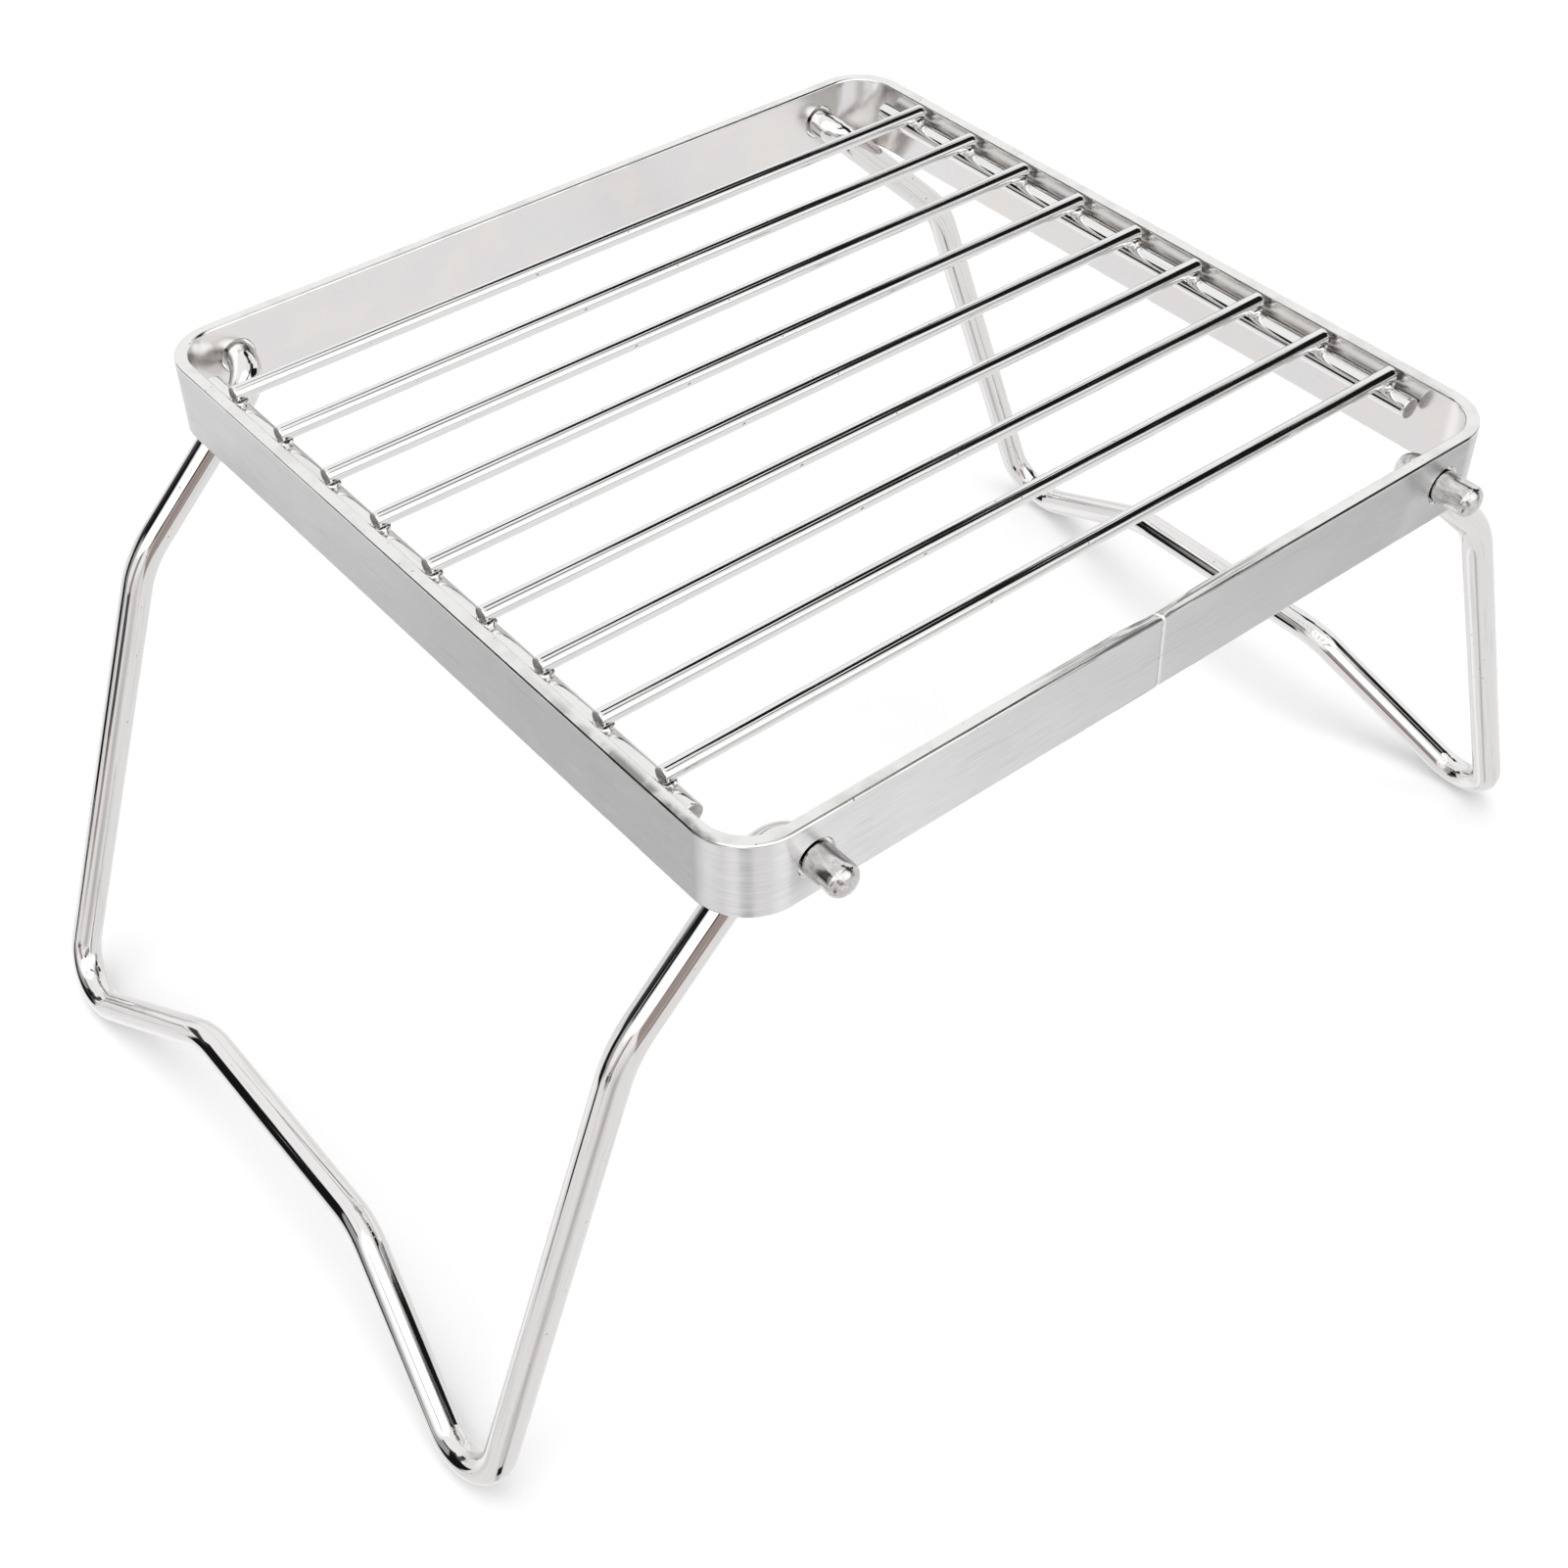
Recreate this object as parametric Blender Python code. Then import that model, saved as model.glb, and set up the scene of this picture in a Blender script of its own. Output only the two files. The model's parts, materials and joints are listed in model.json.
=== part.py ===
"""Folding camp grill: a welded steel rack standing on two hinged legs of bent rod.

World frame in metres: X runs along the grill wires, Y along the hinge axes, +Z up.
The origin lies on the ground under the rack's centre, midway between the four feet.

The rack is a strip of flat bar bent into a rounded square, its two ends butt-welded in
the middle of the front side. Two cross rods are welded inside its end walls, and nine
grill wires lie on them. Each leg is one bent rod, whose two ends are its hinge pins and
pass through holes in the front and back walls.
"""

import math

import bmesh
import bpy
from mathutils import Vector

MM = 0.001

# Rack: a square of flat bar
RACK_SIZE = 170.0 * MM
BAR_HEIGHT = 15.0 * MM
BAR_THICKNESS = 2.5 * MM
CORNER_RADIUS = 10.5 * MM
CORNER_STEPS = 8
EDGE_RADIUS = 0.5 * MM
EDGE_STEPS = 2
SEAM_X = 0.9 * MM
SEAM_HALF_WIDTH = 1.6 * MM
SEAM_DEPTH = 0.3 * MM

# Grill wires, laid on the cross rods
WIRE_COUNT = 9
WIRE_PITCH = 15.7 * MM
WIRE_DIAMETER = 3.0 * MM
WIRE_LENGTH = 162.4 * MM
WIRE_ABOVE_RIM = 0.6 * MM

# Cross rods, along the inner faces of the two end walls, a little nearer to the back one
ROD_DIAMETER = 4.0 * MM
ROD_LENGTH = 142.0 * MM
ROD_Y = 2.0 * MM

# Gap left between neighbouring solids, where the real ones are welded
WELD_GAP = 0.3 * MM

# Legs: one bent round rod each
LEG_DIAMETER = 6.0 * MM
PIN_HOLE_DIAMETER = 6.8 * MM
PIN_FROM_END = 14.9 * MM
PIN_BELOW_RIM = 7.5 * MM
PIN_OVERHANG = 7.7 * MM
ARM_SPACING = 152.0 * MM
THIGH_LENGTH = 42.0 * MM
THIGH_SLOPE = math.radians(44.0)
SHIN_LENGTH = 104.0 * MM
SHIN_LEAN = math.radians(20.4)
RISER_SLOPE = math.radians(28.7)
RAISED_BAR_LENGTH = 56.0 * MM
PIN_BEND = 6.5 * MM
KNEE_BEND = 25.0 * MM
FOOT_BEND = 9.6 * MM
RAISED_BAR_BEND = 18.0 * MM
DEGREES_PER_STEP = 9.0

# Sides of the round pieces
LEG_SIDES = 16
ROD_SIDES = 12


def steel(name, roughness):
    """Stainless steel with the given polish."""
    material = bpy.data.materials.new(name)
    material.use_nodes = True
    shader = material.node_tree.nodes["Principled BSDF"]
    shader.inputs["Base Color"].default_value = (0.72, 0.71, 0.70, 1.0)
    shader.inputs["Metallic"].default_value = 1.0
    shader.inputs["Roughness"].default_value = roughness
    return material


def loft(name, rings, closed=False):
    """Mesh through rings of points: a loop of them if closed, else a bar with end faces."""
    bm = bmesh.new()
    loops = [[bm.verts.new(point) for point in ring] for ring in rings]
    pairs = list(zip(loops, loops[1:]))
    if closed:
        pairs.append((loops[-1], loops[0]))
    else:
        bm.faces.new(reversed(loops[0]))
        bm.faces.new(loops[-1])
    for near, far in pairs:
        for i in range(len(near)):
            j = (i + 1) % len(near)
            bm.faces.new((near[i], near[j], far[j], far[i]))
    bmesh.ops.recalc_face_normals(bm, faces=bm.faces[:])
    mesh = bpy.data.meshes.new(name)
    bm.to_mesh(mesh)
    bm.free()
    mesh.shade_smooth()
    mesh.set_sharp_from_angle(angle=math.radians(35.0))
    return mesh


def add_object(name, mesh, material, location):
    if not mesh.materials:
        mesh.materials.append(material)
    obj = bpy.data.objects.new(name, mesh)
    obj.location = location
    bpy.context.scene.collection.objects.link(obj)
    return obj


def circle_ring(centre, across, up, radius, sides):
    """Points of a circle round a centre, in the plane of two unit vectors."""
    ring = []
    for i in range(sides):
        angle = 2 * math.pi * (i + 0.5) / sides
        ring.append(centre + (across * math.cos(angle) + up * math.sin(angle)) * radius)
    return ring


def straight_rod(name, axis, length, diameter, chamfer):
    """A rod along a unit vector, centred on its origin, with chamfered ends."""
    across = axis.orthogonal().normalized()
    up = axis.cross(across)
    half = length / 2
    radius = diameter / 2
    stations = [(-half, radius - chamfer), (chamfer - half, radius),
                (half - chamfer, radius), (half, radius - chamfer)]
    rings = [circle_ring(axis * along, across, up, size, ROD_SIDES) for along, size in stations]
    return loft(name, rings)


def rounded_line(corners, bend_radii):
    """Points along straight runs between the corners, each bend rounded to its radius."""
    points = [corners[0]]
    for before, corner, after, radius in zip(corners, corners[1:], corners[2:], bend_radii):
        back = (before - corner).normalized()
        ahead = (after - corner).normalized()
        half_angle = back.angle(ahead) / 2
        centre = corner + (back + ahead).normalized() * radius / math.sin(half_angle)
        start = corner + back * radius / math.tan(half_angle) - centre
        end = corner + ahead * radius / math.tan(half_angle) - centre
        turn = math.pi - 2 * half_angle
        steps = math.ceil(math.degrees(turn) / DEGREES_PER_STEP)
        for step in range(steps + 1):
            angle = turn * step / steps
            arc = start * math.sin(turn - angle) + end * math.sin(angle)
            points.append(centre + arc / math.sin(turn))
    points.append(corners[-1])
    return points


def domed_sweep(name, points, radius):
    """A round rod swept along the points, with a flattened dome on each end."""
    dome_reach = 0.65 * radius
    dome_angles = [math.radians(degrees) for degrees in (15.0, 35.0, 55.0, 75.0)]
    first = (points[0] - points[1]).normalized()
    last = (points[-1] - points[-2]).normalized()
    start = points[0] - first * dome_reach
    end = points[-1] - last * dome_reach
    dome = [(dome_reach * math.sin(a), radius * math.cos(a)) for a in dome_angles]
    stations = [(start + first * along, size) for along, size in reversed(dome)]
    stations += [(start, radius)] + [(point, radius) for point in points[1:-1]] + [(end, radius)]
    stations += [(end + last * along, size) for along, size in dome]

    centres = [centre for centre, _ in stations]
    runs = [(b - a).normalized() for a, b in zip(centres, centres[1:])]
    tangents = [runs[0]] + [(a + b).normalized() for a, b in zip(runs, runs[1:])] + [runs[-1]]
    across = tangents[0].orthogonal().normalized()
    rings = []
    for (centre, size), tangent, previous in zip(stations, tangents, tangents[:1] + tangents):
        across = previous.rotation_difference(tangent) @ across
        rings.append(circle_ring(centre, across, tangent.cross(across), size, LEG_SIDES))
    return loft(name, rings)


def leg_centre_line():
    """The right leg's centre line, from the front pin to the back one; the hinge axis is Y."""
    arm_y = ARM_SPACING / 2
    pin_y = RACK_SIZE / 2 + PIN_OVERHANG
    bar_y = RAISED_BAR_LENGTH / 2
    thigh = Vector((math.cos(THIGH_SLOPE), 0.0, -math.sin(THIGH_SLOPE))) * THIGH_LENGTH
    shin_down = Vector((math.sin(SHIN_LEAN), 0.0, -math.cos(SHIN_LEAN)))
    foot = thigh + shin_down * SHIN_LENGTH
    riser_top = foot - shin_down * (arm_y - bar_y) * math.tan(RISER_SLOPE)
    half = [(Vector(), pin_y), (Vector(), arm_y), (thigh, arm_y), (foot, arm_y), (riser_top, bar_y)]
    front = [point + Vector((0.0, -y, 0.0)) for point, y in half]
    back = [point + Vector((0.0, y, 0.0)) for point, y in reversed(half)]
    bends = [PIN_BEND, KNEE_BEND, FOOT_BEND, RAISED_BAR_BEND]
    return rounded_line(front + back, bends + bends[::-1])


def bar_section(at, outward, inset):
    """Cross-section of the flat bar at a point of its outer face, shrunk by an inset."""
    thick = BAR_THICKNESS - inset
    radius = EDGE_RADIUS
    corners = [((-inset - radius, -inset - radius), 0), ((-thick + radius, -inset - radius), 90),
               ((-thick + radius, inset + radius - BAR_HEIGHT), 180),
               ((-inset - radius, inset + radius - BAR_HEIGHT), 270)]
    ring = []
    for (depth, height), start in corners:
        for step in range(EDGE_STEPS + 1):
            angle = math.radians(start + 90.0 * step / EDGE_STEPS)
            along = depth + radius * math.cos(angle)
            ring.append(at + outward * along + Vector((0.0, 0.0, height + radius * math.sin(angle))))
    return ring


def frame_band():
    """The flat bar's closed square, with a shallow groove round the bar at the weld seam."""
    half = RACK_SIZE / 2
    front = Vector((0.0, -1.0, 0.0))
    seam = Vector((SEAM_X, -half, 0.0))
    side = Vector((SEAM_HALF_WIDTH, 0.0, 0.0))
    rings = [bar_section(seam - side, front, 0.0), bar_section(seam, front, SEAM_DEPTH),
             bar_section(seam + side, front, 0.0)]
    centre = half - CORNER_RADIUS
    for quarter, (sign_x, sign_y) in enumerate([(1, -1), (1, 1), (-1, 1), (-1, -1)]):
        corner = Vector((sign_x * centre, sign_y * centre, 0.0))
        for step in range(CORNER_STEPS + 1):
            angle = math.radians(90.0 * (quarter - 1 + step / CORNER_STEPS))
            outward = Vector((math.cos(angle), math.sin(angle), 0.0))
            rings.append(bar_section(corner + outward * CORNER_RADIUS, outward, 0.0))
    return loft("frame_band", rings, closed=True)


def cut_pin_holes(band, pin_x, pin_z):
    """Drills the band's front and back walls along each hinge axis."""
    for side, x in (("left", -pin_x), ("right", pin_x)):
        along = Vector((0.0, 1.0, 0.0))
        drill_mesh = straight_rod("drill", along, RACK_SIZE * 1.1, PIN_HOLE_DIAMETER, 0.0)
        drill = add_object("drill_" + side, drill_mesh, band.data.materials[0], (x, 0.0, pin_z))
        drill.hide_render = True
        drill.display_type = "WIRE"
        hole = band.modifiers.new("pin_holes_" + side, "BOOLEAN")
        hole.operation = "DIFFERENCE"
        hole.solver = "EXACT"
        hole.object = drill


def build():
    for obj in list(bpy.data.objects):
        bpy.data.objects.remove(obj)
    satin = steel("satin_steel", 0.35)
    polished = steel("polished_steel", 0.12)

    pin_x = RACK_SIZE / 2 - PIN_FROM_END
    right_mesh = domed_sweep("right_leg", leg_centre_line(), LEG_DIAMETER / 2)
    left_mesh = right_mesh.copy()
    for vertex in left_mesh.vertices:
        vertex.co.x = -vertex.co.x
    left_mesh.flip_normals()
    pin_z = -min(vertex.co.z for vertex in right_mesh.vertices)
    rim_z = pin_z + PIN_BELOW_RIM
    add_object("right_leg", right_mesh, polished, (pin_x, 0.0, pin_z))
    add_object("left_leg", left_mesh, polished, (-pin_x, 0.0, pin_z))

    band = add_object("frame_band", frame_band(), satin, (0.0, 0.0, rim_z))
    cut_pin_holes(band, pin_x, pin_z)

    wire_z = rim_z + WIRE_ABOVE_RIM - WIRE_DIAMETER / 2
    rod_z = wire_z - (WIRE_DIAMETER + ROD_DIAMETER) / 2 - WELD_GAP
    rod_x = RACK_SIZE / 2 - BAR_THICKNESS - WELD_GAP - ROD_DIAMETER / 2
    rod_mesh = straight_rod("cross_rod", Vector((0.0, 1.0, 0.0)), ROD_LENGTH, ROD_DIAMETER, 0.3 * MM)
    add_object("cross_rod_left", rod_mesh, polished, (-rod_x, ROD_Y, rod_z))
    add_object("cross_rod_right", rod_mesh, polished, (rod_x, ROD_Y, rod_z))

    along = Vector((1.0, 0.0, 0.0))
    wire_mesh = straight_rod("grill_wire", along, WIRE_LENGTH, WIRE_DIAMETER, 0.25 * MM)
    for number in range(1, WIRE_COUNT + 1):
        y = (number - (WIRE_COUNT + 1) / 2) * WIRE_PITCH
        add_object(f"grill_wire_{number}", wire_mesh, polished, (0.0, y, wire_z))


build()
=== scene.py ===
"""Folding camp grill: the looks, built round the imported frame.

Every solid of the frame is replaced by a finer one of the same size in the same place: the
satin flat bar with its weld seam and pin holes, the polished wires and cross rods with their
cut ends, and the mirror-bright legs of bent rod. Weld beads sit where the real pieces join.
All lengths are in metres, in the frame's own axes.
"""

import json
import math
from typing import NamedTuple

import bmesh
import bpy
from mathutils import Matrix, Vector, noise


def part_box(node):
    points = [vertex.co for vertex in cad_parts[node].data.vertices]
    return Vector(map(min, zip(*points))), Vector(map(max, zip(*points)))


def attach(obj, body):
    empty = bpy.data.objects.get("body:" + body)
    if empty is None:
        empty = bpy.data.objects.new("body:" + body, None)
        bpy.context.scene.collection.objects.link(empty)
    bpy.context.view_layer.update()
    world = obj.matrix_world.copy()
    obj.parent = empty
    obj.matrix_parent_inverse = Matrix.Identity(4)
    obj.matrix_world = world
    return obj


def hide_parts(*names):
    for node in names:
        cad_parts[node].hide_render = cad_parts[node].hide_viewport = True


MM = 0.001

# Flat bar
BAR_THICKNESS = 2.5 * MM
BAR_CORNER_RADIUS = 10.5 * MM
BAR_CORNER_STEPS = 24
BAR_EDGE_RADIUS = 0.5 * MM
BAR_EDGE_STEPS = 7
PIN_HOLE_RADIUS = 3.4 * MM
PIN_HOLE_CHAMFER = 0.18 * MM
PIN_HOLE_SIDES = 64
DRILL_MARGIN = 1.0 * MM
EDGE_LOOK, OUTSIDE_LOOK, INSIDE_LOOK = range(3)

# Weld seam in the middle of the front side, and how far the rim beside it is filed down
SEAM_X = 0.9 * MM
SEAM_LEAN = 0.05
SEAM_REACH = 18.0 * MM
SEAM_STATIONS = 41
SEAM_FILED_OUTSIDE = 0.25 * MM
SEAM_FILED_INSIDE = 0.6 * MM
SEAM_FILED_WIDTH = (1.2 * MM, 6.0 * MM)
SEAM_GROOVE = 0.22 * MM
SEAM_GROOVE_WIDTH = 0.28 * MM

# Legs
LEG_RADIUS = 2.95 * MM
ARM_SPACING = 152.0 * MM
THIGH_LENGTH = 42.0 * MM
THIGH_SLOPE = math.radians(44.0)
SHIN_LENGTH = 104.0 * MM
SHIN_LEAN = math.radians(20.4)
RISER_SLOPE = math.radians(28.7)
RAISED_BAR_LENGTH = 56.0 * MM
PIN_BEND = 6.5 * MM
KNEE_BEND = 25.0 * MM
FOOT_BEND = 9.6 * MM
RAISED_BAR_BEND = 18.0 * MM
DEGREES_PER_STEP = 3.0
LEG_SIDES = 40

# Dome on each pin: its reach is a part of the rod's radius, and it stops just short of the tip
DOME_REACH = 0.65
DOME_STEPS = 8
DOME_END_ANGLE = math.radians(88.0)

# Shading: edges sharper than this stay sharp, and a ring of points this far short of each bend
# or rounded end keeps the run between them straight
SHARP_ANGLE = math.radians(40.0)
SUPPORT = 0.5 * MM

# Wires and cross rods
ROD_SIDES = 32
CUT_EDGE_RADIUS = 0.2 * MM
CUT_EDGE_STEPS = 3

# Weld rings at the crossings. Their reach is across and along the wire; reach and thickness vary
# by a part of themselves, in waves round the ring
WELD_REACH = (1.35 * MM, 1.25 * MM)
WELD_RADIUS = 0.42 * MM
WELD_REACH_UNEVEN = 0.12
WELD_REACH_WAVES = 1.6
WELD_THICK_UNEVEN = 0.7
WELD_THICK_WAVES = 2.3
WELD_SEED_STEP = (7.3, 1.9)
WELD_STEPS = 36
WELD_SIDES = 12

# Marks on the bar. Each fade says how far from its middle a mark is whole, and where it ends.
# Outside, the seam is a line of painted shade in its groove, just left of a painted highlight. The
# left rim has a painted dark reflection near its outer face, from the front corner to where its end
# fade, in parts of the half width, stops it
SEAM_WANDER = 0.3 * MM
SEAM_HIGHLIGHT_X = 0.02 * MM
SEAM_HIGHLIGHT_FADE = (0.12 * MM, 0.24 * MM)
SEAM_SHADE_X = -0.22 * MM
SEAM_SHADE_FADE = (0.04 * MM, 0.16 * MM)
SEAM_NOTCH_HIGHLIGHT_FADE = (0.15 * MM, 0.4 * MM)
FILE_MARKS_FADE = (8.0 * MM, 34.0 * MM)
DARK_REFLECTION_FADE = (0.6 * MM, 1.9 * MM)
DARK_REFLECTION_END = (-0.7, -0.3)

# Dents on a pin come in over this length
PIN_FADE = 1.0 * MM

FLOOR_HALF_SIZE = 6.0

# Camera, placed from the middle of the rack's rim
CAMERA_OFFSET = Vector((-215.9, -257.9, 226.6)) * MM
CAMERA_AZIMUTH = math.radians(51.04)
CAMERA_TILT = math.radians(44.12)
CAMERA_ROLL = math.radians(-0.35)
CAMERA_LENS = 51.8
CAMERA_SENSOR = 36.0


class Panel(NamedTuple):
    """A patch of the studio, by its middle and half size in degrees, with soft edges.

    Its middle moves sideways by lean degrees for each degree above the horizon.
    """

    azimuth: float
    half_width: float
    elevation: float
    half_height: float
    soft: float
    colour: tuple
    lean: float = 0.0


# What the camera sees behind the grill, and a softbox overhead that lights the floor alone
BACKDROP = (1.0, 1.0, 1.0)
OVERHEAD = Panel(0.0, 200.0, 81.0, 12.0, 3.0, (2.4, 2.4, 2.4))

# Studio seen by the metal, in degrees and linear light; each panel covers those before it
STUDIO_WALL = (1.08, 1.08, 1.08)
DARK = (0.01, 0.01, 0.01)
STUDIO_PANELS = [
    # Softboxes on the camera's side
    Panel(-122.0, 62.0, 49.0, 31.0, 4.0, (1.7, 1.7, 1.7)),
    Panel(-75.0, 18.0, 10.0, 28.0, 3.0, (1.6, 1.6, 1.6)),
    # The floor: brighter at the back, dimmer towards the camera, with a dark patch in front
    Panel(0.0, 200.0, -60.0, 59.0, 1.5, (0.95, 0.94, 0.94)),
    Panel(116.0, 16.0, -55.0, 30.0, 8.0, (1.12, 1.11, 1.12)),
    Panel(-131.0, 17.0, -47.0, 37.0, 9.0, (0.8, 0.785, 0.775)),
    Panel(-132.0, 9.5, -67.0, 13.0, 4.0, (0.6, 0.6, 0.6)),
    Panel(-132.0, 10.5, -48.5, 9.5, 2.5, DARK),
    # The foot of the far wall
    Panel(75.0, 50.0, 0.8, 0.8, 0.6, (0.35, 0.35, 0.35)),
    # Gaps and stands, which the rods and the bar mirror as their dark and grey lines
    Panel(-9.0, 9.5, 24.0, 14.5, 1.5, DARK, -0.54),
    Panel(-27.0, 20.0, 42.0, 6.0, 1.5, DARK),
    Panel(-40.0, 8.5, 23.0, 18.0, 2.0, DARK),
    Panel(-19.0, 23.0, 51.0, 5.5, 1.5, DARK),
    Panel(20.0, 30.0, 59.0, 5.5, 1.0, DARK),
    Panel(32.0, 13.0, 55.0, 8.5, 1.5, DARK),
    Panel(-45.0, 8.0, 56.0, 4.0, 1.5, DARK),
    Panel(-44.0, 9.0, -6.0, 10.0, 4.0, (0.45, 0.45, 0.45)),
    Panel(157.0, 9.0, 8.0, 20.0, 4.0, (0.42, 0.42, 0.42)),
    Panel(141.5, 9.5, 6.0, 27.0, 1.5, DARK, -0.1),
    Panel(150.0, 5.0, -16.0, 10.0, 1.5, DARK),
    Panel(152.0, 14.0, 30.0, 4.0, 1.5, DARK),
    Panel(122.0, 14.0, 14.0, 8.0, 3.0, (0.05, 0.05, 0.05)),
    Panel(-163.0, 9.0, 48.5, 1.6, 1.0, (0.02, 0.02, 0.02)),
    Panel(-81.0, 23.0, 58.0, 3.0, 1.5, (0.02, 0.02, 0.02)),
    Panel(-110.5, 11.0, -2.5, 18.0, 1.5, (0.41, 0.34, 0.31), -0.87),
    Panel(-125.0, 6.0, 17.5, 2.8, 0.8, DARK),
    Panel(-132.0, 9.0, -24.0, 8.0, 5.0, (0.6, 0.58, 0.57)),
    Panel(-163.5, 8.0, 1.0, 17.0, 2.0, (0.41, 0.34, 0.31), 0.55),
    Panel(-170.0, 11.0, -10.0, 2.5, 1.0, (0.1, 0.1, 0.1)),
]


# ---------------------------------------------------------------- geometry


def loft(name, rings, closed=False, cap_material=0, strip_materials=None):
    """Mesh through rings of points: a loop of them if closed, else a bar with end faces.

    Each strip of faces along the rings may have its own material. Every point also stores
    where it would be if the rod were straight, for marks that run along it.
    """
    bm = bmesh.new()
    straight = bm.verts.layers.float_vector.new("straight")
    middles = [sum(ring, Vector()) / len(ring) for ring in rings]
    loops = []
    along = 0.0
    for ring, middle, previous in zip(rings, middles, middles[:1] + middles):
        along += (middle - previous).length
        loop = [bm.verts.new(point) for point in ring]
        for i, vert in enumerate(loop):
            angle = 2 * math.pi * i / len(loop)
            size = (vert.co - middle).length
            vert[straight] = (along, size * math.cos(angle), size * math.sin(angle))
        loops.append(loop)
    pairs = list(zip(loops, loops[1:]))
    if closed:
        pairs.append((loops[-1], loops[0]))
    else:
        for cap in (bm.faces.new(reversed(loops[0])), bm.faces.new(loops[-1])):
            cap.material_index = cap_material
    for near, far in pairs:
        for i in range(len(near)):
            j = (i + 1) % len(near)
            face = bm.faces.new((near[i], near[j], far[j], far[i]))
            if strip_materials:
                face.material_index = strip_materials[i]
    bmesh.ops.recalc_face_normals(bm, faces=bm.faces[:])
    mesh = bpy.data.meshes.new(name)
    bm.to_mesh(mesh)
    bm.free()
    mesh.shade_smooth()
    mesh.set_sharp_from_angle(angle=SHARP_ANGLE)
    return mesh


def add_piece(name, mesh, body, materials, location=(0.0, 0.0, 0.0)):
    """Puts a mesh in the scene and lets it ride on a body of the frame."""
    if not mesh.materials:
        for material in materials:
            mesh.materials.append(material)
    piece = bpy.data.objects.new(name, mesh)
    piece.location = location
    bpy.context.scene.collection.objects.link(piece)
    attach(piece, body)
    return piece


def circle_ring(centre, across, up, radius, sides):
    """Points of a circle round a centre, in the plane of two unit vectors."""
    ring = []
    for i in range(sides):
        angle = 2 * math.pi * i / sides
        ring.append(centre + (across * math.cos(angle) + up * math.sin(angle)) * radius)
    return ring


def cut_rod(name, axis, length, radius):
    """A straight rod along a unit vector, centred on its origin, with softly rounded cut ends.

    A ring just short of each rounded end keeps the shading of the rod between them straight.
    """
    across = axis.orthogonal().normalized()
    up = axis.cross(across)
    edge = [(length / 2 - CUT_EDGE_RADIUS - SUPPORT, radius)]
    for step in range(CUT_EDGE_STEPS + 1):
        angle = math.radians(90.0) * step / CUT_EDGE_STEPS
        edge.append((length / 2 - CUT_EDGE_RADIUS * (1 - math.sin(angle)),
                     radius - CUT_EDGE_RADIUS * (1 - math.cos(angle))))
    stations = [(-along, size) for along, size in reversed(edge)] + edge
    rings = [circle_ring(axis * along, across, up, size, ROD_SIDES) for along, size in stations]
    return loft(name, rings, cap_material=1)


def rounded_line(corners, bend_radii):
    """Points along straight runs between the corners, each bend rounded to its radius.

    A point just before and just after each bend keeps the shading of the runs straight.
    """
    points = [corners[0]]
    for before, corner, after, radius in zip(corners, corners[1:], corners[2:], bend_radii):
        back = (before - corner).normalized()
        ahead = (after - corner).normalized()
        half_angle = back.angle(ahead) / 2
        centre = corner + (back + ahead).normalized() * radius / math.sin(half_angle)
        start = corner + back * radius / math.tan(half_angle) - centre
        end = corner + ahead * radius / math.tan(half_angle) - centre
        turn = math.pi - 2 * half_angle
        steps = math.ceil(math.degrees(turn) / DEGREES_PER_STEP)
        points.append(centre + start + back * SUPPORT)
        for step in range(steps + 1):
            angle = turn * step / steps
            arc = start * math.sin(turn - angle) + end * math.sin(angle)
            points.append(centre + arc / math.sin(turn))
        points.append(centre + end + ahead * SUPPORT)
    points.append(corners[-1])
    return points


def leg_centre_line(pin_y):
    """The right leg's centre line from its front pin to its back one, about the hinge axis."""
    arm_y = ARM_SPACING / 2
    bar_y = RAISED_BAR_LENGTH / 2
    thigh = Vector((math.cos(THIGH_SLOPE), 0.0, -math.sin(THIGH_SLOPE))) * THIGH_LENGTH
    shin_down = Vector((math.sin(SHIN_LEAN), 0.0, -math.cos(SHIN_LEAN)))
    foot = thigh + shin_down * SHIN_LENGTH
    riser_top = foot - shin_down * (arm_y - bar_y) * math.tan(RISER_SLOPE)
    half = [(Vector(), pin_y), (Vector(), arm_y), (thigh, arm_y), (foot, arm_y), (riser_top, bar_y)]
    front = [point + Vector((0.0, -y, 0.0)) for point, y in half]
    back = [point + Vector((0.0, y, 0.0)) for point, y in reversed(half)]
    bends = [PIN_BEND, KNEE_BEND, FOOT_BEND, RAISED_BAR_BEND]
    return rounded_line(front + back, bends + bends[::-1])


def leg_mesh(name, pin_y, mirror):
    """One leg, swept along its centre line, with a flattened dome on each pin."""
    points = leg_centre_line(pin_y)
    points = [Vector((point.x * mirror, point.y, point.z)) for point in points]
    reach = DOME_REACH * LEG_RADIUS
    first = (points[0] - points[1]).normalized()
    last = (points[-1] - points[-2]).normalized()
    angles = [DOME_END_ANGLE * (step + 1) / DOME_STEPS for step in range(DOME_STEPS)]
    dome = [(reach * (math.sin(a) - 1), LEG_RADIUS * math.cos(a)) for a in angles]
    stations = [(points[0] + first * along, size) for along, size in reversed(dome)]
    stations += [(points[0] - first * depth, LEG_RADIUS) for depth in (reach, reach + SUPPORT)]
    stations += [(point, LEG_RADIUS) for point in points[1:-1]]
    stations += [(points[-1] - last * depth, LEG_RADIUS) for depth in (reach + SUPPORT, reach)]
    stations += [(points[-1] + last * along, size) for along, size in dome]

    centres = [centre for centre, _ in stations]
    runs = [(b - a).normalized() for a, b in zip(centres, centres[1:])]
    tangents = [runs[0]] + [(a + b).normalized() for a, b in zip(runs, runs[1:])] + [runs[-1]]
    across = tangents[0].orthogonal().normalized()
    rings = []
    for (centre, size), tangent, previous in zip(stations, tangents, tangents[:1] + tangents):
        across = previous.rotation_difference(tangent) @ across
        rings.append(circle_ring(centre, across, tangent.cross(across), size, LEG_SIDES))
    return loft(name, rings)


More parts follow.
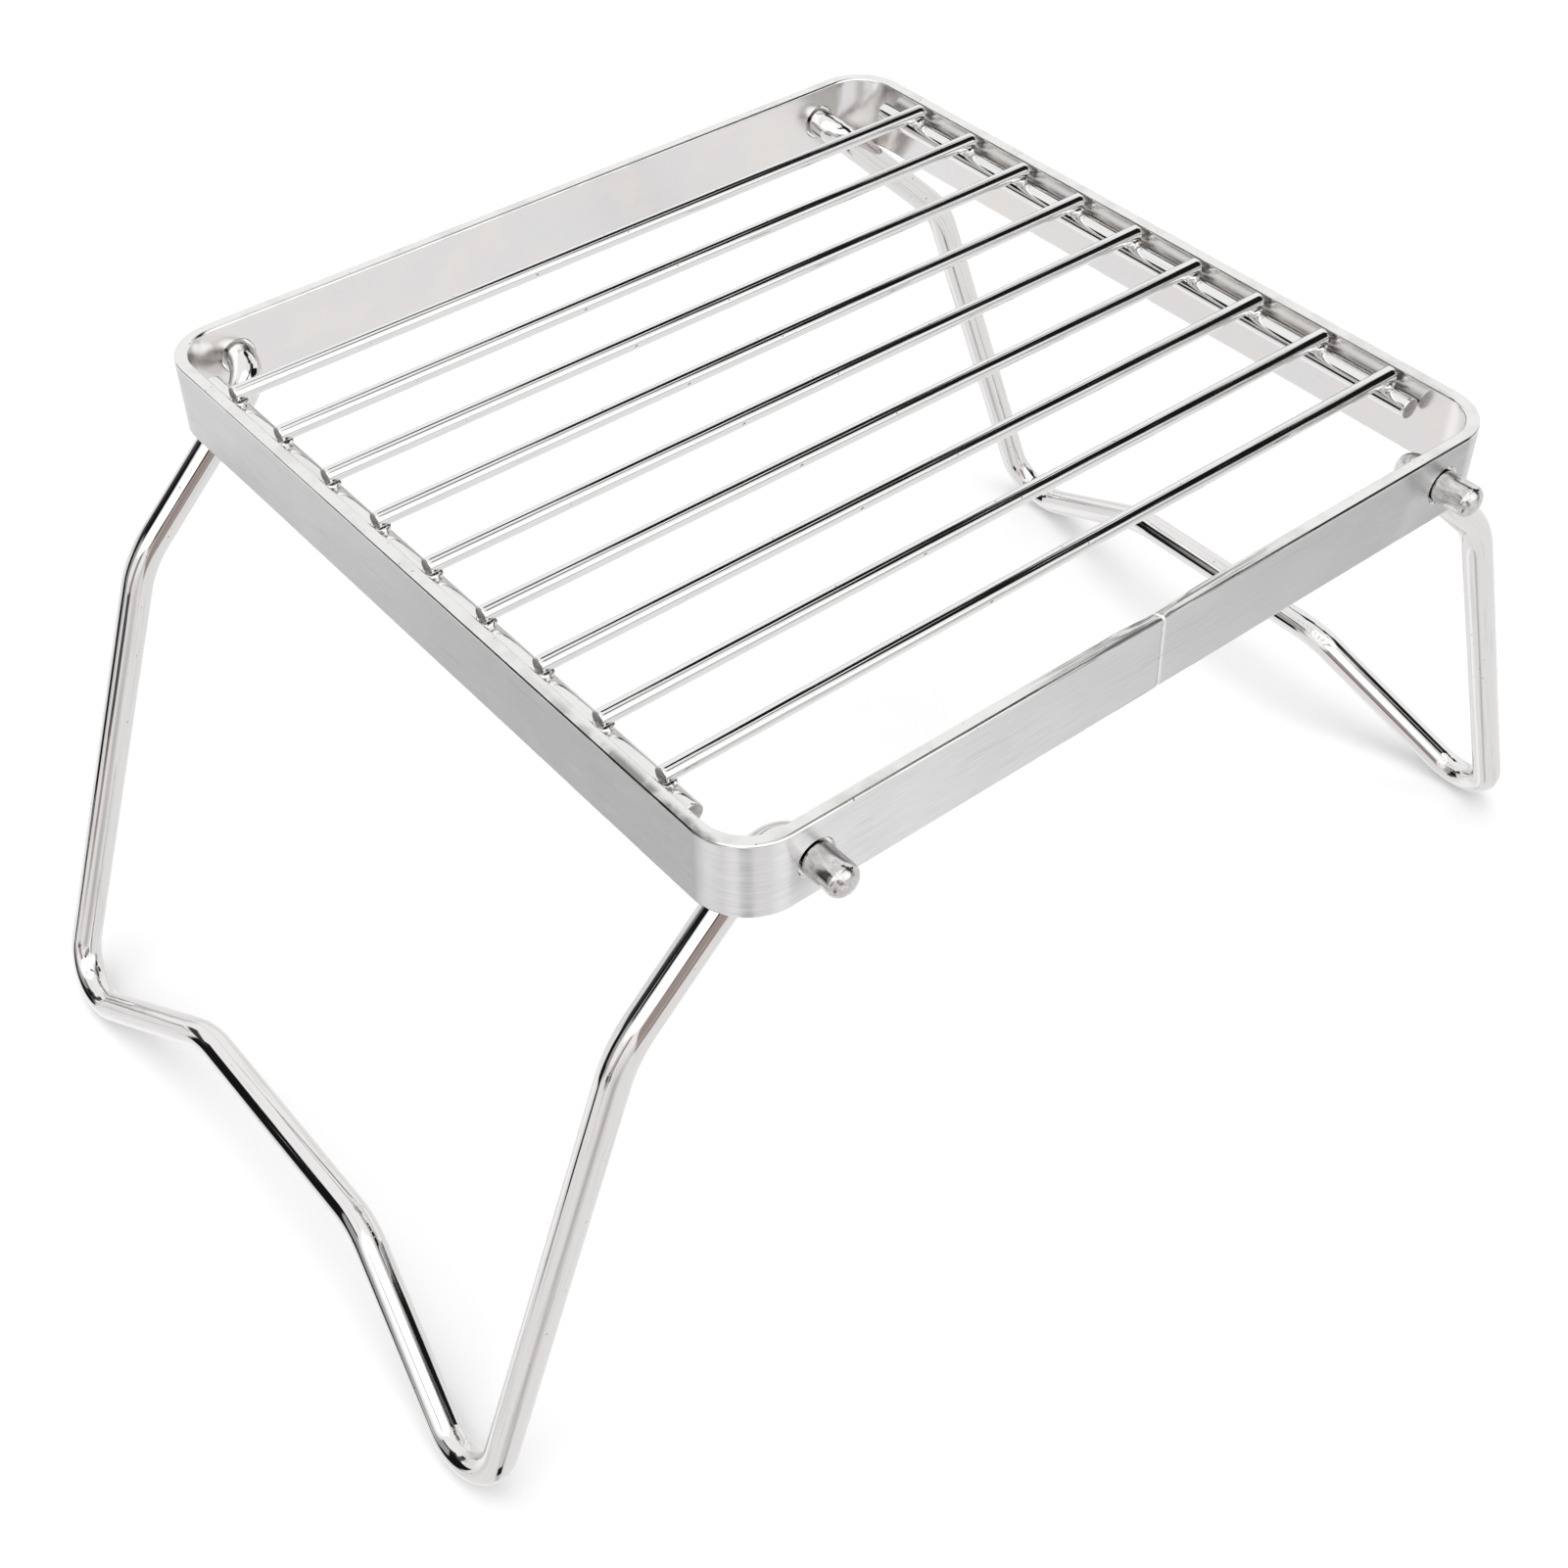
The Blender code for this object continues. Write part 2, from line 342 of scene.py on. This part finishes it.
def bar_section(at, outward, height, inset=0.0, filed=(0.0, 0.0)):
    """Cross-section of the flat bar at a point of its outer face, for a bar of that height.

    It is shrunk all round by an inset, and its top is filed down outside and inside.
    """
    radius = BAR_EDGE_RADIUS
    near = -inset - radius
    far = -BAR_THICKNESS + inset + radius
    top = -inset - radius
    bottom = -height + inset + radius
    middles = [(near, top - filed[0]), (far, top - filed[1]), (far, bottom), (near, bottom)]
    ring = []
    for quarter, (depth, level) in enumerate(middles):
        for step in range(BAR_EDGE_STEPS + 1):
            angle = math.radians(90.0) * (quarter + step / BAR_EDGE_STEPS)
            along = depth + radius * math.cos(angle)
            ring.append(at + outward * along + Vector((0.0, 0.0, level + radius * math.sin(angle))))
    return ring


def seam_sections(half, height):
    """Sections across the butt weld: the rim is filed down there, most of all on the inside."""
    front = Vector((0.0, -1.0, 0.0))
    rings = []
    for i in range(SEAM_STATIONS):
        t = 2 * i / (SEAM_STATIONS - 1) - 1
        along = SEAM_REACH * t * t * t
        outside = SEAM_FILED_OUTSIDE * math.exp(-(along / SEAM_FILED_WIDTH[0]) ** 2)
        inside = SEAM_FILED_INSIDE * math.exp(-(along / SEAM_FILED_WIDTH[1]) ** 2)
        groove = SEAM_GROOVE * max(0.0, 1 - abs(along) / SEAM_GROOVE_WIDTH)
        at = Vector((SEAM_X + along, -half, 0.0))
        ring = bar_section(at, front, height, groove, (outside, inside))
        for point in ring:
            point.x += SEAM_LEAN * -(point.z + height / 2)
        rings.append(ring)
    return rings


def bar_mesh(half, height):
    """The closed square of flat bar, its rim at z = 0."""
    rings = seam_sections(half, height)
    centre = half - BAR_CORNER_RADIUS
    for quarter, (sign_x, sign_y) in enumerate([(1, -1), (1, 1), (-1, 1), (-1, -1)]):
        corner = Vector((sign_x * centre, sign_y * centre, 0.0))
        for step in range(BAR_CORNER_STEPS + 1):
            angle = math.radians(90.0) * (quarter - 1 + step / BAR_CORNER_STEPS)
            outward = Vector((math.cos(angle), math.sin(angle), 0.0))
            rings.append(bar_section(corner + outward * BAR_CORNER_RADIUS, outward, height))
    edge = [EDGE_LOOK] * BAR_EDGE_STEPS
    strips = edge + [EDGE_LOOK] + edge + [INSIDE_LOOK] + edge + [EDGE_LOOK] + edge + [OUTSIDE_LOOK]
    return loft("flat_bar", rings, closed=True, strip_materials=strips)


def drill_mesh(half):
    """Cutter for one pin hole through a wall at y = -half, with a small chamfer at both faces."""
    across = Vector((1.0, 0.0, 0.0))
    up = Vector((0.0, 0.0, 1.0))
    outer = -half
    inner = -half + BAR_THICKNESS
    widest = PIN_HOLE_RADIUS + PIN_HOLE_CHAMFER + DRILL_MARGIN
    stations = [(outer - DRILL_MARGIN, widest),
                (outer + PIN_HOLE_CHAMFER, PIN_HOLE_RADIUS),
                (inner - PIN_HOLE_CHAMFER, PIN_HOLE_RADIUS),
                (inner + DRILL_MARGIN, widest)]
    rings = []
    for y, radius in stations:
        rings.append(circle_ring(Vector((0.0, y, 0.0)), across, up, radius, PIN_HOLE_SIDES))
    return loft("pin_hole_drill", rings)


# ---------------------------------------------------------------- materials


class Graph:
    """Adds nodes to a node tree. An input is given as a number or colour, or as a socket to link."""

    def __init__(self, tree):
        self.tree = tree

    def put(self, socket, value):
        if isinstance(value, bpy.types.NodeSocket):
            self.tree.links.new(value, socket)
        elif isinstance(value, tuple) and len(socket.default_value) == 4:
            socket.default_value = (*value, 1.0)
        else:
            socket.default_value = value

    def add(self, kind, **settings):
        node = self.tree.nodes.new(kind)
        for key, value in settings.items():
            setattr(node, key, value)
        return node

    def math(self, operation, *values):
        node = self.add("ShaderNodeMath", operation=operation)
        for socket, value in zip(node.inputs, values):
            self.put(socket, value)
        return node.outputs[0]

    def ramp(self, value, low, high, at_low=0.0, at_high=1.0):
        """Smooth step from one level to another as the value goes from low to high."""
        node = self.add("ShaderNodeMapRange", interpolation_type="SMOOTHSTEP")
        limits = {"Value": value, "From Min": low, "From Max": high, "To Min": at_low, "To Max": at_high}
        for name, level in limits.items():
            self.put(node.inputs[name], level)
        return node.outputs["Result"]

    def mix(self, factor, first, second):
        node = self.add("ShaderNodeMix", data_type="RGBA")
        for name, value in {"Factor": factor, "A": first, "B": second}.items():
            self.put(node.inputs[name], value)
        return node.outputs["Result"]

    def place(self, attribute=None):
        """A point's place on its object, or the one stored under that name."""
        if attribute:
            return self.add("ShaderNodeAttribute", attribute_name=attribute).outputs["Vector"]
        return self.add("ShaderNodeTexCoord").outputs["Object"]

    def axes(self, vector):
        node = self.add("ShaderNodeSeparateXYZ")
        self.put(node.inputs[0], vector)
        return node.outputs

    def noise(self, vector, scale, detail=2.0):
        """Noise with its own scale along each axis, in features per metre; about 0.5 on average."""
        stretch = self.add("ShaderNodeVectorMath", operation="MULTIPLY")
        self.put(stretch.inputs[0], vector)
        stretch.inputs[1].default_value = scale
        node = self.add("ShaderNodeTexNoise")
        self.put(node.inputs["Vector"], stretch.outputs[0])
        node.inputs["Scale"].default_value = 1.0
        node.inputs["Detail"].default_value = detail
        return node.outputs["Fac"]


class Look(Graph):
    """A metal being made: its graph, its shader and its material."""

    def __init__(self, name):
        self.material = bpy.data.materials.new(name)
        self.material.use_nodes = True
        super().__init__(self.material.node_tree)
        self.shader = self.tree.nodes["Principled BSDF"]
        self.shader.inputs["Metallic"].default_value = 1.0

    def from_seam(self, x, z, seam_middle):
        """Distance sideways from the leaning weld seam, whose middle is that far below the rim."""
        from_middle = self.math("SUBTRACT", x, SEAM_X)
        return self.math("MULTIPLY_ADD", self.math("ADD", z, seam_middle), SEAM_LEAN, from_middle)

    def finish(self, colour, roughness, height, relief):
        """Joins colour, roughness and a height map, whose full swing is the relief in metres."""
        self.put(self.shader.inputs["Base Color"], colour)
        self.put(self.shader.inputs["Roughness"], roughness)
        bump = self.add("ShaderNodeBump")
        bump.inputs["Strength"].default_value = 1.0
        bump.inputs["Distance"].default_value = relief
        self.put(bump.inputs["Height"], height)
        self.put(self.shader.inputs["Normal"], bump.outputs["Normal"])
        return self.material


def brushed_outside(seam_middle):
    """Outer faces of the bar: fine brush lines round it, faint blotches, and painted highlight and
    painted shade along the weld seam.
    """
    look = Look("brushed_bar_steel")
    place = look.place()
    x, y, z = look.axes(place)
    lines = look.noise(place, (140.0, 140.0, 4200.0), 3.0)
    coarse = look.noise(place, (45.0, 45.0, 1500.0), 2.0)
    blotch = look.noise(place, (70.0, 70.0, 110.0), 2.0)
    tone = look.mix(look.ramp(lines, 0.3, 0.7), (0.74, 0.74, 0.745), (0.86, 0.86, 0.865))
    tone = look.mix(look.ramp(coarse, 0.62, 0.75, 0.0, 0.5), tone, (0.58, 0.58, 0.585))
    tone = look.mix(look.ramp(blotch, 0.35, 0.7, 0.0, 0.35), tone, (0.90, 0.885, 0.875))
    roughness = look.ramp(lines, 0.3, 0.7, 0.33, 0.42)

    # Painted highlight along the weld seam, with painted shade in its groove just left of it
    front = look.math("LESS_THAN", y, 0.0)
    from_seam = look.from_seam(x, z, seam_middle)
    wander = look.math("MULTIPLY_ADD", look.math("SUBTRACT", coarse, 0.5), SEAM_WANDER, from_seam)
    from_seam_highlight = look.math("ABSOLUTE", look.math("SUBTRACT", wander, SEAM_HIGHLIGHT_X))
    from_seam_shade = look.math("ABSOLUTE", look.math("SUBTRACT", wander, SEAM_SHADE_X))
    seam_highlight = look.math("MULTIPLY", front, look.ramp(from_seam_highlight, *SEAM_HIGHLIGHT_FADE, 1.0, 0.0))
    seam_shade = look.math("MULTIPLY", front, look.ramp(from_seam_shade, *SEAM_SHADE_FADE, 0.9, 0.0))
    tone = look.mix(seam_highlight, tone, (1.0, 1.0, 1.0))
    tone = look.mix(seam_shade, tone, (0.05, 0.05, 0.05))

    # The brush lines run round the bar, so highlights stretch up and down, across them
    look.shader.inputs["Anisotropic"].default_value = 1.0
    look.shader.inputs["Anisotropic Rotation"].default_value = 0.25
    tangent = look.add("ShaderNodeTangent", direction_type="RADIAL", axis="Z")
    look.put(look.shader.inputs["Tangent"], tangent.outputs[0])
    return look.finish(tone, roughness, lines, relief=0.004 * MM)


def worn_and_painted_edge(half, seam_middle):
    """Rim and rounded edges of the bar: smoother and warmer, with smudges and small knocks.

    File marks run along the rim beside the weld seam, with a painted highlight on the notch at the seam
    itself.
    The left outer edge has a painted dark reflection towards the front corner.
    """
    look = Look("bar_edge_steel")
    place = look.place()
    x, y, z = look.axes(place)
    smudge = look.noise(place, (160.0, 160.0, 160.0), 4.0)
    specks = look.noise(place, (1400.0, 1400.0, 1400.0), 1.0)
    lines = look.noise(place, (220.0, 220.0, 5000.0), 2.0)
    tone = look.mix(look.ramp(smudge, 0.45, 0.7), (0.78, 0.775, 0.76), (0.70, 0.695, 0.68))
    tone = look.mix(look.ramp(specks, 0.72, 0.78, 0.0, 0.7), tone, (0.2, 0.2, 0.19))

    hairs = look.noise(place, (70.0, 2400.0, 2400.0), 3.0)
    front = look.math("LESS_THAN", y, 0.0)
    beside = look.math("ABSOLUTE", look.from_seam(x, z, seam_middle))
    filed = look.math("MULTIPLY", front, look.ramp(beside, *FILE_MARKS_FADE, 1.0, 0.0))
    marks = look.math("MULTIPLY", filed, look.ramp(hairs, 0.46, 0.56, 0.0, 0.9))
    tone = look.mix(marks, tone, (0.2, 0.2, 0.2))
    # Painted highlight on the filed notch where the seam meets the rim
    notch_highlight = look.math("MULTIPLY", front, look.ramp(beside, *SEAM_NOTCH_HIGHLIGHT_FADE, 1.0, 0.0))
    tone = look.mix(notch_highlight, tone, (1.0, 1.0, 1.0))

    # Painted dark reflection along the left outer edge, towards the front corner, in patches
    outer = look.ramp(x, *[reach - half for reach in DARK_REFLECTION_FADE], 1.0, 0.0)
    near = look.ramp(y, *[part * half for part in DARK_REFLECTION_END], 1.0, 0.0)
    patchy = look.ramp(smudge, 0.38, 0.55, 0.15, 0.8)
    dark_reflection = look.math("MULTIPLY", look.math("MULTIPLY", outer, near), patchy)
    tone = look.mix(dark_reflection, tone, (0.16, 0.16, 0.15))
    smooth = look.ramp(smudge, 0.35, 0.7, 0.09, 0.18)
    roughness = look.math("MULTIPLY_ADD", filed, 0.22, smooth)
    height = look.math("MULTIPLY_ADD", look.math("MULTIPLY", filed, hairs), 2.0, lines)
    return look.finish(tone, roughness, height, relief=0.012 * MM)


def smooth_inside():
    """Inner faces of the bar: rolled smooth, bright, with a slow unevenness."""
    look = Look("smooth_bar_steel")
    place = look.place()
    cloud = look.noise(place, (60.0, 60.0, 90.0), 3.0)
    fine = look.noise(place, (350.0, 350.0, 1800.0), 2.0)
    tone = look.mix(look.ramp(cloud, 0.35, 0.65), (0.78, 0.775, 0.78), (0.83, 0.81, 0.79))
    tone = look.mix(look.ramp(fine, 0.66, 0.8, 0.0, 0.3), tone, (0.55, 0.55, 0.55))
    roughness = look.ramp(cloud, 0.3, 0.7, 0.17, 0.25)
    return look.finish(tone, roughness, fine, relief=0.003 * MM)


def drawn_rod(name, colour, roughness, relief, dented_from=None):
    """Drawn and polished rod: faint drawing lines and slow waves along it, and a few pits.

    A leg's pins are dented and duller, from that distance off the middle of its hinge outwards.
    """
    look = Look(name)
    place = look.place("straight")
    lines = look.noise(place, (60.0, 1600.0, 1600.0), 2.0)
    waves = look.noise(place, (260.0, 420.0, 420.0), 2.0)
    pits = look.noise(place, (900.0, 1500.0, 1500.0), 1.0)
    dull = tuple(0.8 * level for level in colour)
    tone = look.mix(look.ramp(lines, 0.5, 0.8, 0.0, 0.6), colour, dull)
    tone = look.mix(look.ramp(pits, 0.76, 0.8, 0.0, 0.8), tone, (0.2, 0.2, 0.2))
    scratches = look.noise(place, (25.0, 2600.0, 2600.0), 2.0)
    polish = look.ramp(lines, 0.35, 0.75, 0.7 * roughness, 1.6 * roughness)
    gloss = look.math("ADD", polish, look.ramp(scratches, 0.55, 0.68, 0.0, 0.28))
    height = look.math("MULTIPLY_ADD", lines, 0.1, waves)
    if dented_from:
        local = look.place()
        _, y, _ = look.axes(local)
        dents = look.noise(local, (1500.0, 600.0, 1500.0), 4.0)
        pin = look.ramp(look.math("ABSOLUTE", y), dented_from, dented_from + PIN_FADE)
        dull_pin = look.math("MULTIPLY", pin, look.ramp(dents, 0.35, 0.6, 0.15, 0.6))
        tone = look.mix(dull_pin, tone, (0.42, 0.41, 0.4))
        gloss = look.math("MULTIPLY_ADD", pin, 0.12, gloss)
        height = look.math("MULTIPLY_ADD", look.math("MULTIPLY", pin, dents), 1.8, height)
    return look.finish(tone, gloss, height, relief)


def cut_end(name, tone):
    """End face left by a saw or shear: darker and rougher, with a few parallel marks."""
    look = Look(name)
    place = look.place()
    marks = look.noise(place, (700.0, 700.0, 3200.0), 2.0)
    light = tuple(1.25 * level for level in tone)
    tone = look.mix(look.ramp(marks, 0.3, 0.7), tone, light)
    return look.finish(tone, 0.38, marks, relief=0.02 * MM)


def weld_metal():
    """Squeezed-out weld: bright beads with burnt brown-grey hollows."""
    look = Look("weld_bead_steel")
    place = look.place()
    burn = look.noise(place, (1100.0, 1100.0, 1100.0), 3.0)
    tone = look.mix(look.ramp(burn, 0.54, 0.66), (0.84, 0.83, 0.81), (0.2, 0.19, 0.18))
    roughness = look.ramp(burn, 0.4, 0.65, 0.1, 0.4)
    return look.finish(tone, roughness, burn, relief=0.05 * MM)


# ---------------------------------------------------------------- pieces


def build_bar(body, materials):
    """The flat bar with its four pin holes, in place of the frame's node."""
    low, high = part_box("frame_band")
    half = high.x
    mesh = bar_mesh(half, high.z - low.z)
    bar = bpy.data.objects.new("flat_bar", mesh)
    bar.location = (0.0, 0.0, high.z)
    bpy.context.scene.collection.objects.link(bar)
    for joint in frame["joints"]:
        for side in (1, -1):
            drill = bpy.data.objects.new("pin_hole_drill", drill_mesh(half))
            drill.location = Vector(joint["pos_m"])
            if side < 0:
                drill.rotation_euler.z = math.pi
            bpy.context.scene.collection.objects.link(drill)
            hole = bar.modifiers.new("hole", "BOOLEAN")
            hole.operation = "DIFFERENCE"
            hole.solver = "EXACT"
            hole.object = drill
            bpy.context.view_layer.update()
            drilled_bar = bar.evaluated_get(bpy.context.evaluated_depsgraph_get())
            drilled = bpy.data.meshes.new_from_object(drilled_bar)
            bar.modifiers.clear()
            bar.data = drilled
            bpy.data.objects.remove(drill)
    for material in materials:
        bar.data.materials.append(material)
    bar.data.set_sharp_from_angle(angle=SHARP_ANGLE)
    even = bar.modifiers.new("even_shading", "WEIGHTED_NORMAL")
    even.keep_sharp = True
    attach(bar, body)
    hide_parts("frame_band")
    return bar


def build_rods(prefix, nodes, body, axis, materials):
    """Straight round rods in place of the frame's nodes, all as long and thick as the first."""
    low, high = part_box(nodes[0])
    mesh = cut_rod(prefix, axis, (high - low).dot(axis), (high - low).z / 2)
    for node in nodes:
        low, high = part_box(node)
        rod = add_piece(node + "_round", mesh, body, materials, (low + high) / 2)
        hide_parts(node)


def weld_ring(name, seed, across, along):
    """Metal squeezed out round a wire where it crosses a rod: an uneven ring, thin in places."""
    offset = Vector((seed * WELD_SEED_STEP[0], seed * WELD_SEED_STEP[1], 0.0))
    rings = []
    for i in range(WELD_STEPS):
        angle = 2 * math.pi * i / WELD_STEPS
        way = Vector((math.cos(angle), math.sin(angle), 0.0))
        swell = WELD_REACH_UNEVEN * noise.noise(way * WELD_REACH_WAVES + offset)
        middle = Vector((way.x * along, way.y * across, 0.0)) * (1 + swell)
        bulge = WELD_THICK_UNEVEN * noise.noise(way * WELD_THICK_WAVES - offset)
        thick = WELD_RADIUS * (1 + bulge)
        rings.append(circle_ring(middle, way, Vector((0.0, 0.0, 1.0)), thick, WELD_SIDES))
    return loft(name, rings, closed=True)


def build_welds(body, rods, wires, material):
    """A ring of weld at each crossing, halfway between the wire's underside and the rod's top."""
    for i, rod in enumerate(rods):
        rod_low, rod_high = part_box(rod)
        for j, wire in enumerate(wires):
            wire_low, wire_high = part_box(wire)
            place = Vector(((rod_low.x + rod_high.x) / 2,
                            (wire_low.y + wire_high.y) / 2,
                            (wire_low.z + rod_high.z) / 2))
            mesh = weld_ring("weld", i * len(wires) + j, *WELD_REACH)
            weld = add_piece(f"weld_{rod}_{j + 1}", mesh, body, [material], place)


def build_leg(node, mirror, hinge, materials):
    """One leg of bent rod, in place of the frame's node, about its hinge axis."""
    _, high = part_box(node)
    mesh = leg_mesh(node, high.y, mirror)
    leg = add_piece(node + "_rod", mesh, node, materials, hinge)
    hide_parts(node)


# ---------------------------------------------------------------- stage


def add_camera(target):
    """The camera stands at its offset from the rim's middle and looks along its own angles."""
    camera_data = bpy.data.cameras.new("camera")
    camera_data.lens = CAMERA_LENS
    camera_data.sensor_width = CAMERA_SENSOR
    camera = bpy.data.objects.new("camera", camera_data)
    forward = Vector((math.cos(CAMERA_TILT) * math.cos(CAMERA_AZIMUTH),
                      math.cos(CAMERA_TILT) * math.sin(CAMERA_AZIMUTH),
                      -math.sin(CAMERA_TILT)))
    turn = forward.to_track_quat("-Z", "Y").to_matrix() @ Matrix.Rotation(CAMERA_ROLL, 3, "Z")
    camera.matrix_world = Matrix.Translation(target + CAMERA_OFFSET) @ turn.to_4x4()
    bpy.context.scene.collection.objects.link(camera)
    bpy.context.scene.camera = camera


def add_floor(material):
    """The plain floor. The metal mirrors the studio below the horizon in its place."""
    bm = bmesh.new()
    bmesh.ops.create_grid(bm, x_segments=1, y_segments=1, size=FLOOR_HALF_SIZE)
    mesh = bpy.data.meshes.new("floor")
    bm.to_mesh(mesh)
    bm.free()
    mesh.materials.append(material)
    floor = bpy.data.objects.new("floor", mesh)
    bpy.context.scene.collection.objects.link(floor)
    floor.visible_glossy = False


def floor_material():
    """Matt white paper with the faintest unevenness."""
    look = Look("pale_floor")
    look.shader.inputs["Metallic"].default_value = 0.0
    paper = look.noise(look.place(), (9.0, 9.0, 9.0), 2.0)
    tone = look.mix(paper, (0.93, 0.93, 0.93), (0.95, 0.95, 0.95))
    return look.finish(tone, 0.9, paper, relief=0.01 * MM)


def add_world():
    """A plain soft studio, painted by direction: pale walls and floor, softboxes and dark gaps.

    The metal reflects all of it but the softbox overhead, which lights the floor alone. The
    camera sees only a plain pale backdrop.
    """
    world = bpy.data.worlds.new("studio")
    world.use_nodes = True
    studio = Graph(world.node_tree)
    x, y, z = studio.axes(studio.add("ShaderNodeTexCoord").outputs["Generated"])
    azimuth = studio.math("ARCTAN2", y, x)
    elevation = studio.math("ARCSINE", z)

    def within(angle, middle, half, soft):
        """One within half of the middle angle, with soft edges, and nought beyond."""
        away = studio.math("WRAP", studio.math("SUBTRACT", angle, middle), math.pi, -math.pi)
        return studio.ramp(studio.math("ABSOLUTE", away), half - soft, half + soft, 1.0, 0.0)

    def cover(panel):
        """How far a panel covers what lies behind it in each direction."""
        turned = studio.math("MULTIPLY_ADD", elevation, -panel.lean, azimuth)
        soft = math.radians(panel.soft)
        across = within(turned, math.radians(panel.azimuth), math.radians(panel.half_width), soft)
        upward = within(elevation, math.radians(panel.elevation), math.radians(panel.half_height), soft)
        return studio.math("MULTIPLY", across, upward)

    rays = studio.add("ShaderNodeLightPath").outputs
    light = STUDIO_WALL
    for panel in STUDIO_PANELS:
        light = studio.mix(cover(panel), light, panel.colour)
    on_floor = studio.math("MULTIPLY", cover(OVERHEAD), rays["Is Diffuse Ray"])
    light = studio.mix(on_floor, light, OVERHEAD.colour)

    seen = studio.tree.nodes["Background"]
    studio.put(seen.inputs["Color"], light)
    backdrop = studio.add("ShaderNodeBackground")
    studio.put(backdrop.inputs["Color"], BACKDROP)
    choose = studio.add("ShaderNodeMixShader")
    studio.put(choose.inputs[0], rays["Is Camera Ray"])
    studio.put(choose.inputs[1], seen.outputs[0])
    studio.put(choose.inputs[2], backdrop.outputs[0])
    studio.put(studio.tree.nodes["World Output"].inputs["Surface"], choose.outputs[0])
    bpy.context.scene.world = world


# ---------------------------------------------------------------- the scene

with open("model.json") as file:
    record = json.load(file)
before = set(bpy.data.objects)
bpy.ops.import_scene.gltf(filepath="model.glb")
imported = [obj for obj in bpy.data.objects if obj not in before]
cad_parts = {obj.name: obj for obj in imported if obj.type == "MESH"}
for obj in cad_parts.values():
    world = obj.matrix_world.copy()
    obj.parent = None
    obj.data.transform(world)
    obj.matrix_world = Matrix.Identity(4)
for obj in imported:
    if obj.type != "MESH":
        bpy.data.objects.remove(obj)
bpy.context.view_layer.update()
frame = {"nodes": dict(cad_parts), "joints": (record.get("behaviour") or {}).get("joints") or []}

rim_low, rim_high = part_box("frame_band")
rim_middle = Vector((0.0, 0.0, rim_high.z))
seam_middle = (rim_high.z - rim_low.z) / 2
bar_looks = [worn_and_painted_edge(rim_high.x, seam_middle), brushed_outside(seam_middle), smooth_inside()]
mirror_rod = drawn_rod("mirror_leg_steel", (0.76, 0.75, 0.745), 0.03, 0.010 * MM, rim_high.x)
bright_wire = drawn_rod("bright_wire_steel", (0.78, 0.775, 0.77), 0.03, 0.008 * MM)
wire_looks = [bright_wire, cut_end("wire_end_steel", (0.42, 0.42, 0.41))]
rod_looks = [bright_wire, cut_end("rod_end_steel", (0.52, 0.52, 0.51))]
wires = sorted(name for name in frame["nodes"] if name.startswith("grill_wire"))
rods = sorted(name for name in frame["nodes"] if name.startswith("cross_rod"))
hinges = {joint["child"]: Vector(joint["pos_m"]) for joint in frame["joints"]}

build_bar("rack", bar_looks)
build_rods("grill_wire", wires, "rack", Vector((1.0, 0.0, 0.0)), wire_looks)
build_rods("cross_rod", rods, "rack", Vector((0.0, 1.0, 0.0)), rod_looks)
build_welds("rack", rods, wires, weld_metal())
build_leg("right_leg", 1, hinges["right_leg"], [mirror_rod])
build_leg("left_leg", -1, hinges["left_leg"], [mirror_rod])

bpy.context.scene.view_settings.view_transform = "Standard"
add_camera(rim_middle)
add_floor(floor_material())
add_world()
